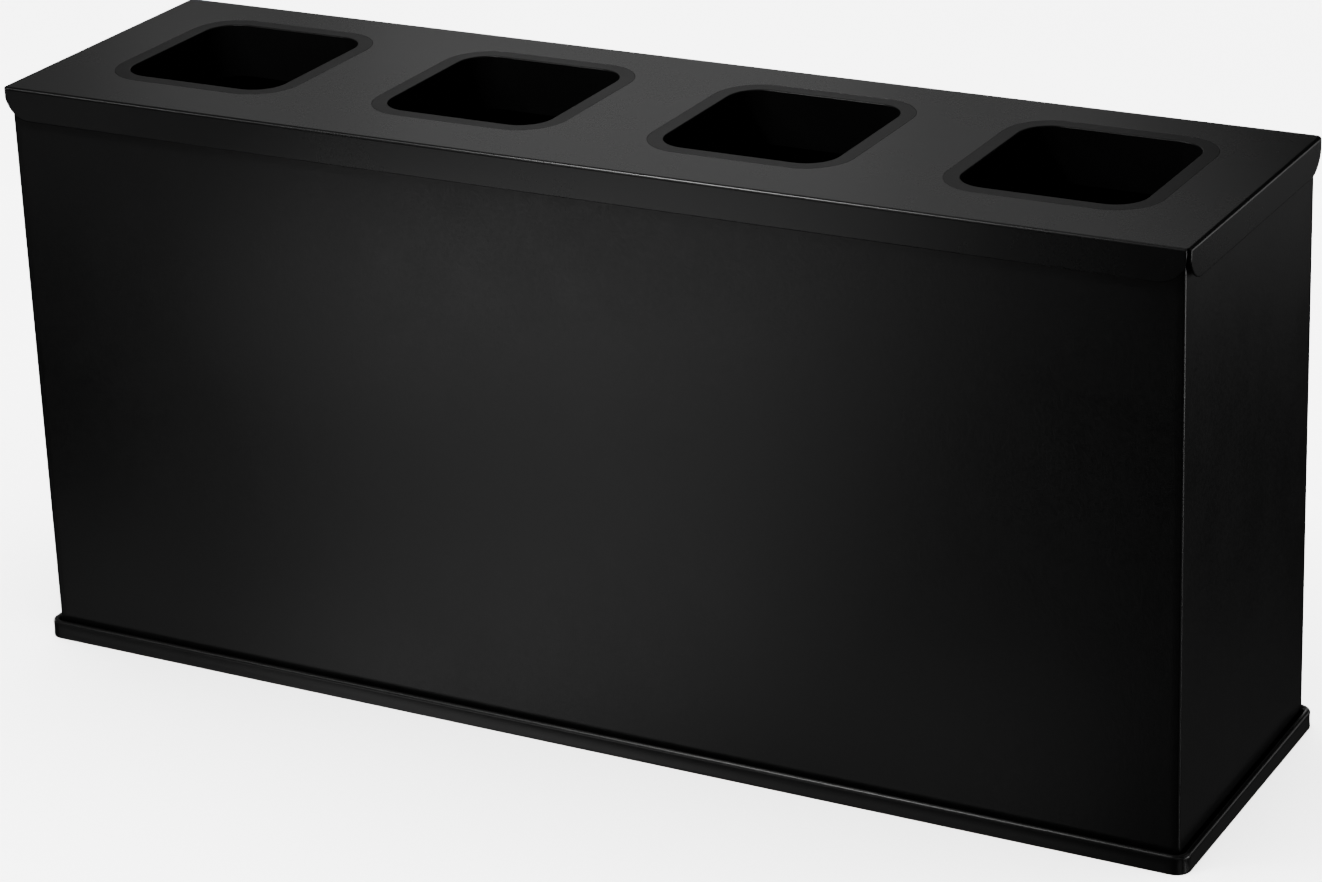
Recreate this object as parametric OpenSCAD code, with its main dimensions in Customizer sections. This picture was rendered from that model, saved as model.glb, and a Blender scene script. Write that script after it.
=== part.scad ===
// Recycling bin station: a folded sheet-steel box on a rubber plinth, with four liners standing
// side by side in it and a loose lid on top that has one square aperture over each liner.
// Millimetres. +Z is up, +X runs along the row of liners and the front faces -Y.
// The origin is the middle of the footprint, on the ground.

/* [Lid] */
// Length of the lid along the row of liners
lid_length = 1200; // [1190:1:1600]
// Depth of the lid from front to back
lid_depth = 322; // [300:1:450]
// Height of the lid's top face above the ground
station_height = 575; // [420:1:900]
// Thickness of the lid's sheet
lid_sheet = 2; // [1:0.1:3]
// Height of the skirt folded down all round the lid, sheet included
skirt_height = 32; // [20:1:60]
// Outside radius of the lid's folds
lid_fold = 2.5; // [1.5:0.1:4]
// Radius of the lower corners at each end of a skirt
skirt_corner = 25; // [5:1:28]
// Open gap at a corner, from one skirt's end to the inside of the next skirt
skirt_gap = 0.8; // [0.3:0.1:2]
// Space all round between the skirt and the shell
skirt_clearance = 4; // [2.5:0.5:10]

/* [Apertures] */
// Number of liners, each with its own aperture
bin_count = 4; // [2:1:4]
// From the middle of the last aperture to the end of the lid
end_margin = 165; // [155:1:200]
// Opening of an aperture along the row
aperture_length = 171; // [120:1:190]
// Opening of an aperture from front to back
aperture_depth = 180; // [120:1:184]
// Corner radius of an aperture
aperture_corner = 30; // [5:1:55]
// Middle of the apertures, behind the middle of the lid
aperture_offset = 9; // [0:1:15]

/* [Aperture rings] */
// Width of the ring's face that shows round the aperture, flush with the lid
ring_face = 15; // [8:1:20]
// Gap all round between the ring's face and the lid's cut-out
ring_fit = 0.4; // [0.2:0.1:1]
// Width of the ledge that lies under the lid, beyond the face
ring_ledge = 12; // [10:1:15]
// Thickness of that ledge
ring_ledge_sheet = 3; // [2:0.5:5]
// Wall of the collar that hangs below the aperture
ring_wall = 2; // [1.2:0.1:4]
// Depth of the collar below the lid's top face
collar_depth = 54; // [20:1:90]
// Radius of the studs that hold a ring
stud_radius = 2; // [1.5:0.5:3]
// Length of a stud below the lid
stud_length = 12; // [9:0.5:20]
// Height of a stud's nut
nut_height = 3.2; // [2:0.1:5]
// Width of a stud's nut across its flats
nut_flats = 7; // [6:0.5:9]
// Radial gap between a stud and the hole or nut around it
stud_fit = 0.1; // [0.1:0.1:0.5]

/* [Lid stiffeners] */
// Leg of the angle bars welded across under the lid
stiffener_leg = 25; // [10:1:30]
// Sheet thickness of the angle bars
stiffener_sheet = 2; // [1:0.1:3]

/* [Shell] */
// Sheet thickness of the shell, its rear panel and the floor pan
shell_sheet = 1.5; // [1:0.1:2.5]
// Outside radius of the shell's upright folds
shell_fold = 2.5; // [1.5:0.1:5]
// Width of the flanges that the shell's sides turn in behind the rear panel
return_width = 20; // [15:1:30]
// Height of the flanges round the floor pan
pan_flange = 25; // [20:1:60]
// Leg of the angle rails round the inside of the shell's top edge
rail_leg = 20; // [16:1:24]
// Sheet thickness of the rails
rail_sheet = 2; // [1:0.1:3]
// Diameter of the rubber buffers that the lid rests on
buffer_diameter = 12; // [6:1:16]
// Thickness of the buffers
buffer_thickness = 2; // [1:0.5:4]

/* [Dividers] */
// Sheet thickness of the dividers between the liners
divider_sheet = 1.2; // [0.8:0.1:2]
// Width of the flanges that join a divider to the shell
divider_flange = 15; // [12:1:20]
// Space between the top of a divider and the lid's stiffeners
divider_headroom = 8; // [2:1:60]

/* [Liners] */
// Wall and floor of a liner
liner_wall = 2.5; // [1.5:0.1:4]
// Corner radius of a liner's walls
liner_corner = 25; // [8:1:60]
// Width that the rim stands out from the walls
liner_lip = 6; // [3:1:10]
// Thickness of the rim
liner_rim = 3; // [2:0.5:6]
// Space round a liner's rim as it is lifted out
liner_clearance = 5.5; // [2:0.5:15]
// Space between a liner's rim and the collar above it
liner_headroom = 16; // [4:1:60]
// Length of the finger slot in each end wall of a liner
slot_length = 90; // [70:1:120]
// Height of the finger slot
slot_height = 24; // [18:1:30]
// From a liner's rim down to the middle of its finger slots
slot_drop = 45; // [25:1:80]

/* [Base trim] */
// Height of the rubber trim round the foot
trim_height = 18; // [14:1:40]
// Thickness of the ledge that the shell stands on
trim_ledge = 6; // [4:0.5:10]
// Width of that ledge inside the shell's outer faces
trim_ledge_width = 24; // [20:1:40]
// Thickness of the upright bead round the outside
trim_bead = 6.5; // [4:0.5:12]
// Open channel between the shell and the bead
trim_channel = 3; // [1:0.5:8]
// Corner radius of the trim seen from above
trim_corner = 14; // [13:1:30]
// Depth of the hollow along the middle of the bead's outer face
trim_waist = 0.8; // [0.2:0.1:1.5]

/* [Fasteners] */
// Radius of a rivet's head on the rear panel
rivet_head_radius = 3.2; // [2.5:0.1:5]
// Height of a rivet's domed head
rivet_head_height = 1.1; // [0.8:0.1:2]
// Radius of a rivet's shank
rivet_shank_radius = 1.6; // [1:0.1:2.4]
// Radius of the shank of the countersunk screws under the foot
screw_radius = 2; // [1.5:0.5:3]
// Length of those screws
screw_length = 11; // [10:0.5:20]

/* [Hidden] */
$fn = 64;
seat_gap = 0.3;          // running gap between pieces that can be lifted apart
cut = 1;                 // how far a cutting solid runs past the face it cuts
bins = [1:bin_count];
bays = [1:bin_count - 1];

bin_pitch = (lid_length - 2 * end_margin) / (bin_count - 1);
lid_under = station_height - lid_sheet;

shell_length = lid_length - 2 * (lid_sheet + skirt_clearance);
shell_depth = lid_depth - 2 * (lid_sheet + skirt_clearance);
shell_bottom = trim_ledge;
shell_top = lid_under - seat_gap - buffer_thickness;
shell_end = shell_length / 2;
shell_back = shell_depth / 2;
inner_end = shell_end - shell_sheet;
inner_back = shell_back - shell_sheet;
corner_relief = shell_fold;          // keeps flat pieces out of the inside of an upright fold

pan_top = shell_bottom + shell_sheet;
flange_top = shell_bottom + pan_flange;
rail_bottom = shell_top - rail_leg;
rail_end = inner_end - rail_leg;
rail_back = inner_back - rail_leg;
fold_relief = 2;                     // upright space between one flange and the next
return_bottom = flange_top + fold_relief;
return_top = rail_bottom - fold_relief;

ring_reach = ring_face + ring_ledge;
stud_reach = ring_face + ring_fit + (ring_ledge - ring_fit) / 2;
stiffener_bottom = lid_under - stiffener_leg;
divider_top = min(stiffener_bottom - divider_headroom, rail_bottom - fold_relief);

liner_bottom = pan_top + seat_gap;
liner_top = station_height - collar_depth - liner_headroom;
liner_length = min(bin_pitch - divider_sheet, 2 * (end_margin - lid_length / 2 + rail_end))
    - 2 * liner_clearance;
liner_depth = 2 * (rail_back - liner_clearance);
liner_body = [liner_length - 2 * liner_lip, liner_depth - 2 * liner_lip];

trim_reach = trim_channel + trim_bead;
trim_plan = [shell_length + 2 * trim_reach, shell_depth + 2 * trim_reach];
waist_half = trim_height / 3;
waist_radius = (waist_half * waist_half + trim_waist * trim_waist) / (2 * trim_waist);

rivet_inset = return_width / 2;      // from the shell's end to the middle of its rear flange
rivets_up = 6;
rivet_ends = 35;                     // from a flange's end to its first rivet
rivet_drop = 6;                      // from the floor pan's flange edge down to its rivets
return_grip = 2 * shell_sheet;
rail_grip = shell_sheet + rail_sheet;
divider_grip = shell_sheet + divider_sheet;
bulb_radius = 1.4 * rivet_shank_radius;
bulb_height = 1.6;
rivet_fit = 0.1;
// Each rivet of the rear panel as [x, z, thickness of the sheets that it holds]
rivet_places = concat(
    [for (side = [-1, 1], i = [0:rivets_up - 1])
        [side * (shell_end - rivet_inset), spread(return_bottom, return_top, i), return_grip]],
    [for (bin = bins, side = [-1, 1])
        [bin_x(bin) + side * bin_pitch / 4, flange_top - rivet_drop, return_grip]],
    [for (bin = bins, side = [-1, 1])
        [bin_x(bin) + side * bin_pitch / 4, shell_top - rail_leg / 2, rail_grip]],
    [for (bay = bays, i = [0, 2, 3, 5])
        [divider_x(bay) + (divider_sheet + divider_flange) / 2,
         spread(return_bottom, divider_top, i), divider_grip]]
);

screw_head_radius = 2 * screw_radius;
screw_head_height = screw_radius;
screw_sink = 0.5;                    // from the ground up to a screw's head
screw_fit = 0.1;
screw_inset = shell_sheet + trim_ledge_width / 2;
screw_places = concat(
    [for (bin = bins, side = [-1, 1]) [bin_x(bin), side * (shell_back - screw_inset)]],
    [for (side = [-1, 1]) [side * (shell_end - screw_inset), 0]]
);

function bin_x(bin) = (bin - (bin_count + 1) / 2) * bin_pitch;
function divider_x(bay) = (bay - bin_count / 2) * bin_pitch;
function spread(low, high, i) = low + rivet_ends
    + i * (high - low - 2 * rivet_ends) / (rivets_up - 1);

// ---- shared shapes ----

// Rectangle about the origin with round corners
module rounded(size, radius) {
    square([size.x - 2 * radius, size.y], center = true);
    square([size.x, size.y - 2 * radius], center = true);
    for (x = [-1, 1], y = [-1, 1])
        translate([x * (size.x / 2 - radius), y * (size.y / 2 - radius)]) circle(radius);
}

// Slot with half-round ends
module stadium(length, height) {
    square([length - height, height], center = true);
    for (side = [-1, 1]) translate([side * (length - height) / 2, 0]) circle(d = height);
}

// Upright prism of a rounded rectangle from one height to another
module slab(size, radius, low, high) {
    translate([0, 0, low]) linear_extrude(high - low) rounded(size, radius);
}

// Box from its lowest corner to its highest
module block(low, high) {
    translate(low) cube(high - low);
}

// Outline of an aperture, grown by the same amount all round
module aperture(grow, low, high) {
    slab([aperture_length + 2 * grow, aperture_depth + 2 * grow], aperture_corner + grow, low, high);
}

module at_bin(bin) {
    translate([bin_x(bin), aperture_offset, 0]) children();
}

// Places of the eight studs round an aperture: the corners, then the middles of the sides
module at_ring_studs() {
    half = [aperture_length / 2, aperture_depth / 2];
    diagonal = (aperture_corner + stud_reach) * sqrt(0.5);
    for (x = [-1, 1], y = [-1, 1])
        translate([x * (half.x - aperture_corner + diagonal), y * (half.y - aperture_corner + diagonal)])
            children();
    for (side = [-1, 1]) {
        translate([side * (half.x + stud_reach), 0]) children();
        translate([0, side * (half.y + stud_reach)]) children();
    }
}

// Places of the rear panel's rivets, each turned so that +Z points out of the back
module rivet_at(place) {
    translate([place[0], shell_back, place[1]]) rotate([-90, 0, 0]) children();
}

module rivet_holes() {
    for (place = rivet_places)
        rivet_at(place)
            cylinder(r = rivet_shank_radius + rivet_fit, h = 2 * rail_leg, center = true);
}

module at_screws() {
    for (place = screw_places) translate(place) children();
}

// Bar along X with an L section: one leg lies flat under the top, one hangs at the back (+Y)
module angle_bar(length, leg, sheet) {
    block([-length / 2, -leg, -sheet], [length / 2, 0, 0]);
    block([-length / 2, -sheet, -leg], [length / 2, 0, 0]);
}

// ---- foot and shell ----

// Half-round top on a straight wall, hollowed along its outer face
module bead_profile() {
    radius = trim_bead / 2;
    difference() {
        union() {
            square([trim_bead, trim_height - radius]);
            translate([radius, trim_height - radius]) circle(radius);
        }
        translate([trim_bead + waist_radius - trim_waist, trim_height / 2]) circle(waist_radius, $fn = 180);
    }
}

module bead_run(length) {
    rotate([90, 0, 90]) translate([0, 0, -length / 2]) linear_extrude(length) bead_profile();
}

module base_trim() {
    core = trim_plan - 2 * [trim_corner, trim_corner];
    inside = [shell_length, shell_depth] - 2 * [trim_ledge_width, trim_ledge_width];
    color("#1b1b1c")
    difference() {
        union() {
            slab(trim_plan - 2 * [trim_bead, trim_bead], trim_corner - trim_bead, 0, trim_ledge);
            for (turn = [0, 180])
                rotate(turn) translate([0, trim_plan.y / 2 - trim_bead, 0]) bead_run(core.x);
            for (turn = [90, 270])
                rotate(turn) translate([0, trim_plan.x / 2 - trim_bead, 0]) bead_run(core.y);
            for (x = [-1, 1], y = [-1, 1])
                translate([x * core.x / 2, y * core.y / 2, 0])
                    rotate(atan2(y, x) - 45)
                        rotate_extrude(angle = 90) translate([trim_corner - trim_bead, 0]) bead_profile();
        }
        block([-inside.x / 2, -inside.y / 2, -cut], [inside.x / 2, inside.y / 2, trim_ledge + cut]);
        at_screws() translate([0, 0, -cut]) {
            cylinder(r = screw_radius + screw_fit, h = trim_ledge + 2 * cut);
            cylinder(r = screw_head_radius + screw_fit, h = cut + screw_sink);
        }
        at_screws() translate([0, 0, screw_sink])
            cylinder(r1 = screw_head_radius + screw_fit, r2 = screw_radius + screw_fit, h = screw_head_height);
    }
}

module base_screws() {
    color("silver")
    at_screws() translate([0, 0, screw_sink]) {
        cylinder(r1 = screw_head_radius, r2 = screw_radius, h = screw_head_height);
        cylinder(r = screw_radius, h = screw_length);
    }
}

module floor_pan() {
    plan = [2 * inner_end, 2 * inner_back];
    sheet = [shell_sheet, shell_sheet];
    color("#2a2b2d")
    difference() {
        slab(plan, corner_relief, shell_bottom, flange_top);
        slab(plan - 2 * sheet, corner_relief, pan_top, flange_top + cut);
        at_screws() cylinder(r = screw_radius + screw_fit, h = flange_top);
        rivet_holes();
    }
}

// Front and both sides, folded from one sheet, with flanges turned in at the back
module shell_wrap() {
    color("#232426")
    difference() {
        union() {
            difference() {
                slab([shell_length, shell_depth], shell_fold, shell_bottom, shell_top);
                slab([2 * inner_end, 2 * inner_back], shell_fold - shell_sheet, shell_bottom - cut, shell_top + cut);
                block([-shell_end - cut, inner_back, shell_bottom - cut],
                      [shell_end + cut, shell_back + cut, shell_top + cut]);
                block([-inner_end, 0, shell_bottom - cut], [inner_end, shell_back, shell_top + cut]);
            }
            for (side = [-1, 1])
                block([side * (shell_end - return_width / 2) - return_width / 2, inner_back - shell_sheet, return_bottom],
                      [side * (shell_end - return_width / 2) + return_width / 2, inner_back, return_top]);
        }
        rivet_holes();
    }
}

module rear_panel() {
    color("#232426")
    difference() {
        block([-shell_end, inner_back, shell_bottom], [shell_end, shell_back, shell_top]);
        rivet_holes();
    }
}

module rear_rivets() {
    dome = (rivet_head_radius * rivet_head_radius + rivet_head_height * rivet_head_height)
        / (2 * rivet_head_height);
    color("#232426")
    for (place = rivet_places) rivet_at(place) {
        rotate_extrude() intersection() {
            translate([0, rivet_head_height - dome]) circle(dome, $fn = 120);
            square([rivet_head_radius, rivet_head_height]);
        }
        translate([0, 0, -place[2]]) cylinder(r = rivet_shank_radius, h = place[2]);
        translate([0, 0, -place[2] - bulb_height]) cylinder(r = bulb_radius, h = bulb_height);
    }
}

module long_rail() {
    translate([0, inner_back, shell_top])
        angle_bar(2 * (inner_end - corner_relief), rail_leg, rail_sheet);
}

module end_rail() {
    translate([0, inner_end, shell_top]) angle_bar(2 * rail_back, rail_leg, rail_sheet);
}

module front_rail() {
    color("#2a2b2d") rotate(180) long_rail();
}

module rear_rail() {
    color("#2a2b2d") difference() {
        long_rail();
        rivet_holes();
    }
}

module left_rail() {
    color("#2a2b2d") rotate(90) end_rail();
}

module right_rail() {
    color("#2a2b2d") rotate(-90) end_rail();
}

module lid_buffers() {
    color("#111111")
    translate([0, 0, shell_top]) {
        for (bay = bays, side = [-1, 1])
            translate([divider_x(bay), side * (inner_back - rail_leg / 2)])
                cylinder(d = buffer_diameter, h = buffer_thickness);
        for (side = [-1, 1])
            translate([side * (inner_end - rail_leg / 2), 0])
                cylinder(d = buffer_diameter, h = buffer_thickness);
    }
}

module divider(bay) {
    color("#2a2b2d")
    difference() {
        translate([divider_x(bay) - divider_sheet / 2, 0, 0]) {
            block([0, shell_sheet - inner_back, pan_top], [divider_sheet, inner_back - shell_sheet, divider_top]);
            block([0, shell_sheet - inner_back, pan_top],
                  [divider_flange, inner_back - shell_sheet, pan_top + divider_sheet]);
            for (side = [-1, 1]) {
                middle = side * (inner_back - divider_sheet);
                block([0, middle - divider_sheet, return_bottom], [divider_sheet, middle + divider_sheet, divider_top]);
                block([0, middle + (side - 1) * divider_sheet / 2, return_bottom],
                      [divider_flange, middle + (side + 1) * divider_sheet / 2, divider_top]);
            }
        }
        rivet_holes();
    }
}

// ---- lid and aperture rings ----

// Flat outline of a skirt, its top edge on X and its lower corners round
module skirt_outline(length) {
    radius = min(skirt_corner, skirt_height - lid_fold);
    translate([-length / 2, radius - skirt_height]) square([length, skirt_height - radius]);
    translate([radius - length / 2, -skirt_height]) square([length - 2 * radius, skirt_height]);
    for (side = [-1, 1])
        translate([side * (length / 2 - radius), radius - skirt_height]) circle(radius);
}

// Section of a fold and its skirt: the outer face is on the Y axis, the sheet lies at +X
module skirt_profile() {
    difference() {
        intersection() {
            translate([lid_fold, -lid_fold]) circle(lid_fold);
            translate([0, -lid_fold]) square(lid_fold);
        }
        translate([lid_fold, -lid_fold]) circle(max(lid_fold - lid_sheet, 0.1));
    }
    translate([0, -skirt_height]) square([min(lid_sheet, lid_fold), skirt_height - lid_fold]);
}

// Skirt along the front edge of a plate that is so long and so deep
module skirt(long, deep) {
    length = long - 2 * (lid_sheet + skirt_gap);
    translate([0, -deep / 2, station_height])
    intersection() {
        rotate([90, 0, 90]) translate([0, 0, -length / 2]) linear_extrude(length) skirt_profile();
        translate([0, lid_fold + cut, 0]) rotate([90, 0, 0]) linear_extrude(lid_fold + 2 * cut) skirt_outline(length);
    }
}

module lid() {
    color("#2b2c2e")
    difference() {
        union() {
            block([lid_fold - lid_length / 2, lid_fold - lid_depth / 2, lid_under],
                  [lid_length / 2 - lid_fold, lid_depth / 2 - lid_fold, station_height]);
            for (turn = [0, 180]) rotate(turn) skirt(lid_length, lid_depth);
            for (turn = [90, 270]) rotate(turn) skirt(lid_depth, lid_length);
        }
        for (bin = bins) at_bin(bin) aperture(ring_face + ring_fit, lid_under - cut, station_height + cut);
    }
}

// Pushed up from below: the face fills the cut-out, the ledge lies under the lid
module aperture_ring(bin) {
    ledge_under = lid_under - ring_ledge_sheet;
    collar_end = station_height - collar_depth;
    color("#1f2022")
    at_bin(bin) difference() {
        union() {
            aperture(ring_face, ledge_under, station_height);
            aperture(ring_reach, ledge_under, lid_under);
            aperture(ring_wall, collar_end, lid_under);
        }
        aperture(0, collar_end - cut, station_height + cut);
        at_ring_studs() translate([0, 0, ledge_under - cut])
            cylinder(r = stud_radius + stud_fit, h = ring_ledge_sheet + cut);
    }
}

module ring_studs() {
    color("silver")
    for (bin = bins) at_bin(bin) at_ring_studs()
        translate([0, 0, lid_under - stud_length]) cylinder(r = stud_radius, h = stud_length);
}

module ring_nuts() {
    color("silver")
    for (bin = bins) at_bin(bin) at_ring_studs()
        translate([0, 0, lid_under - ring_ledge_sheet - nut_height]) difference() {
            cylinder(d = nut_flats / cos(30), h = nut_height, $fn = 6);
            translate([0, 0, -cut]) cylinder(r = stud_radius + stud_fit, h = nut_height + 2 * cut);
        }
}

module lid_stiffener(bay) {
    color("#2a2b2d")
    translate([divider_x(bay) + stiffener_leg / 2, 0, lid_under])
        rotate(-90) angle_bar(liner_depth, stiffener_leg, stiffener_sheet);
}

// ---- liners ----

module liner(bin) {
    wall = [liner_wall, liner_wall];
    lip = [liner_lip, liner_lip];
    color("#161617")
    translate([bin_x(bin), 0, 0]) difference() {
        union() {
            slab(liner_body, liner_corner, liner_bottom, liner_top);
            slab(liner_body + 2 * lip, liner_corner + liner_lip, liner_top - liner_rim, liner_top);
        }
        slab(liner_body - 2 * wall, liner_corner - liner_wall, liner_bottom + liner_wall, liner_top + cut);
        translate([0, 0, liner_top - slot_drop]) rotate([90, 0, 90])
            translate([0, 0, -liner_length / 2]) linear_extrude(liner_length)
                stadium(slot_length, slot_height);
    }
}

base_trim();
floor_pan();
shell_wrap();
rear_panel();
front_rail();
rear_rail();
left_rail();
right_rail();
lid_buffers();
rear_rivets();
base_screws();
lid();
ring_studs();
ring_nuts();
for (bay = bays) {
    divider(bay);
    lid_stiffener(bay);
}
for (bin = bins) {
    aperture_ring(bin);
    liner(bin);
}
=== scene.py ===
"""Recycling bin station: the finish of its lid, rings, shell, foot, rivets and liners.

Every surface here is worked out from the boxes of the CAD frame's nodes, and the rivets' places from
their own points, in millimetres, and goes into a mesh in metres. +Z is up, +X runs along the row of
liners and the front faces -Y.
"""

import bpy
import numpy as np
from mathutils import Matrix, Vector


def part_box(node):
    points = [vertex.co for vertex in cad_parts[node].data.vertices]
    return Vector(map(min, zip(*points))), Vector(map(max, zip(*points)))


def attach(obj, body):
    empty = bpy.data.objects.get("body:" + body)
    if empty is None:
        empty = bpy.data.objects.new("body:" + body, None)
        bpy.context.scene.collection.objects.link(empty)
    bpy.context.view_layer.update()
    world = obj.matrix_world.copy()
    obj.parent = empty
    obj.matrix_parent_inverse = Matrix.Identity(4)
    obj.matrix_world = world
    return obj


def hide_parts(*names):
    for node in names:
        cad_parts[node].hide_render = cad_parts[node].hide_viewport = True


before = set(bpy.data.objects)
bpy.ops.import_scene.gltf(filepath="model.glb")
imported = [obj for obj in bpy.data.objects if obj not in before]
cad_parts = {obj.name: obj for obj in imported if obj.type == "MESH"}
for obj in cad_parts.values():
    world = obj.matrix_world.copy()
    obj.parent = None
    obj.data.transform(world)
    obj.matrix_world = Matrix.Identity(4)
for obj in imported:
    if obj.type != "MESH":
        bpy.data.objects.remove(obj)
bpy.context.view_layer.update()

MM = 0.001                # millimetres to metres
WELD = 1e-4               # points closer than this are one point
SHARP = np.radians(38)    # edges bent more than this stay crisp

# Lid
LID_SHEET = 2.0
LID_FOLD = 3.0            # outside radius of its folds
SKIRT_CORNER = 25.0       # radius of a skirt's lower corners
CORNER_RELIEF = 0.3       # from the end of a skirt to the end of the fold line
SKIRT_EDGE = 0.9          # radius on the free edges of the skirts
SHEET_EDGE = 0.4          # radius on smaller free edges
CUT_OUT_EDGE = 0.12       # radius on the edges round the rings

# Rings
RING_FACE = 15.0          # width of the face that is flush with the lid
RING_GAP = 0.15           # open line round that face
RING_REACH = 27.0         # from the aperture to the outer edge of the ledge
RING_LEDGE = 3.0
RING_WALL = 2.0
RING_LIP = 1.2            # radius where the face turns down into the collar
APERTURE_CORNER = 30.0

# Shell
SHELL_SHEET = 1.5
SHELL_FOLD = 2.5
SHELL_EDGE = 0.3
RETURN_WIDTH = 20.0
RETURN_LOW = 33.0         # the rear flanges start here
RETURN_HIGH = 548.7       # and end here
RETURN_RELIEF = 0.8       # slit above and below a flange
WAVE_DEPTH = 0.15         # how far the front is out of flat
WAVE_ALONG = (7.0, 3.0)   # radians that its two waves turn along the front
WAVE_UP = (2.0, 4.0)      # and up it

# Foot
BEAD = 6.5                # thickness of the upright bead
CHANNEL = 3.0             # between the bead and the shell
LEDGE_WIDTH = 24.0        # of the ledge, from the shell's face inwards
LEDGE = 6.0               # thickness of the ledge
TRIM_CORNER = 14.0
WAIST = 0.3               # how far the outer face is hollow
HOLLOW_PART = 3           # the foot's height over half the height of its hollow

# Rivets
RIVET_HEAD = 3.2
RIVET_RISE = 1.1
RIVET_SHANK = 1.6
RIVET_BRIM = 0.25         # thickness of a head at its edge
RIVET_GRIP = 3.0          # thickness of the sheets that a rivet holds
RIVET_STEPS = 24          # spaces round a rivet
STUB_HOLE = 0.9           # radius of the hole left by the mandrel
STUB_LEVEL = 0.45         # height of the broken mandrel in that hole
STUB_TAPER = 0.8          # radius of the mandrel's end, as a share of the hole's
BULB = 1.4                # radius of the blind end, as a share of the shank's
HEAD_TOP = 0.02           # how near the top of a head a point is taken as its middle
HEAD_DECIMALS = 1         # to which such points are rounded, so that each head counts once

# Liners
LINER_WALL = 2.5
LINER_LIP = 6.0
LINER_CORNER = 25.0
LINER_FOOT = 9.0          # radius where a liner's walls turn into its floor
SLOT = (90.0, 24.0)       # length and height of a finger slot
SLOT_DROP = 45.0          # from the rim down to the middle of the slot
SLOT_BAND = 26.0          # half the height of the wall panel that holds a slot
SLOT_ROWS = 14            # spaces up that panel
SLOT_COLUMNS = 28         # spaces along it
SLOT_RINGS = 4            # spaces from the slot's edge to the panel's border
SLOT_EDGE = 0.9           # radius on the slot's edge
SLOTTED = (1, 3)          # of the five stretches of wall at a slot's height, those with a slot
LINER_STEPS = 42          # spaces along a liner's straight side
LINER_DRAFT = 3.0         # how far a wall leans in at the floor
LINER_BEND = 3.0          # radius, at mid wall, of the turn into the rim
LIP_BEND = 2.1            # and of the turn from the rim into its lip
LIP_DEPTH = 9.0           # from the rim's top down to the end of its lip
LIP_EDGE = 1.0            # radius on the lip's edge

# Spaces between the points of a surface
HOLD = 0.3                # from a bend to the first points of the flat beside it
HOLD_SHARE = 0.006        # and the same as a share of the flat
HOLD_ROOM = 4             # a flat narrower than this many times HOLD gets no such points
ARC_STEPS = 14            # along a quarter turn seen from above
SIDE_STEPS = 18           # along a straight side
ARC_CROWDING = 3          # how much closer a cut-out's points lie on its arcs
FOLD_STEPS = 6            # round a fold
EDGE_STEPS = 3            # round a small edge
LIP_STEPS = 6             # round a ring's lip
TIP_STEPS = 8             # round the end of a collar
PLATE_RINGS = 7           # from a cut-out in the lid to its cell's sides
SKIRT_ROWS = 5            # down the flat of a skirt
SHELL_ROWS = 24           # up the shell
FRONT_COLUMNS = 60        # along its front
SIDE_COLUMNS = 18         # along its sides
FLANGE_COLUMNS = 5        # along a rear flange
REAR_STEPS = 30           # both ways across the rear sheet
STOP_DECIMALS = 6         # to which places on neighbouring lid cells are rounded, so that they agree
HOLLOW_STEPS = 10         # up the hollow face of the foot
BEAD_STEPS = 14           # over the top of its bead
WALL_ROWS = 12            # up a liner's wall, below its slots
RIM_STEPS = 5             # round each turn of a liner's rim

RINGS = sorted(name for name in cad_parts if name.startswith("aperture_ring_"))
LINER_NODES = sorted(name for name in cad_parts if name.startswith("liner_"))


def corners(node):
    """Lowest and highest corner of a CAD node, in millimetres."""
    low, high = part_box(node)
    return np.array(low) / MM, np.array(high) / MM


# ---- shared surfaces ----

def grid_quads(rows, columns, wrap_rows=False, wrap_columns=False):
    """Quads between the neighbours of a grid of points, closed on itself where a direction wraps."""
    index = np.arange(rows * columns).reshape(rows, columns)
    if wrap_rows:
        index = np.concatenate([index, index[:1]])
    if wrap_columns:
        index = np.concatenate([index, index[:, :1]], axis=1)
    quads = np.stack([index[:-1, :-1], index[1:, :-1], index[1:, 1:], index[:-1, 1:]], -1)
    return quads.reshape(-1, 4)


def facing_out(points, quads):
    """Quads of a closed shape, turned round if the volume that they enclose is negative."""
    a, b, c, d = (points[quads[:, k]] for k in range(4))
    volume = np.einsum("ij,ij->", np.cross(a, b), c) + np.einsum("ij,ij->", np.cross(a, c), d)
    return quads if volume > 0 else quads[:, ::-1]


def held_share(steps):
    """Shares of a flat's width, evenly spaced, and one more near each end that keeps the flat flat."""
    return np.concatenate([[0, HOLD_SHARE], np.linspace(0, 1, steps + 1)[1:-1], [1 - HOLD_SHARE, 1]])


def held_path(path):
    """A path with a point put in near both ends of its long stretches, which keeps them flat."""
    step = np.diff(path, axis=0)
    length = np.linalg.norm(step, axis=1)
    near = step * (HOLD / length)[:, None]
    points = np.stack([path[:-1], path[:-1] + near, path[1:] - near], axis=1)
    long = length > HOLD * HOLD_ROOM
    return np.concatenate([points[np.stack([length > 0, long, long], 1)], path[-1:]])


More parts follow.
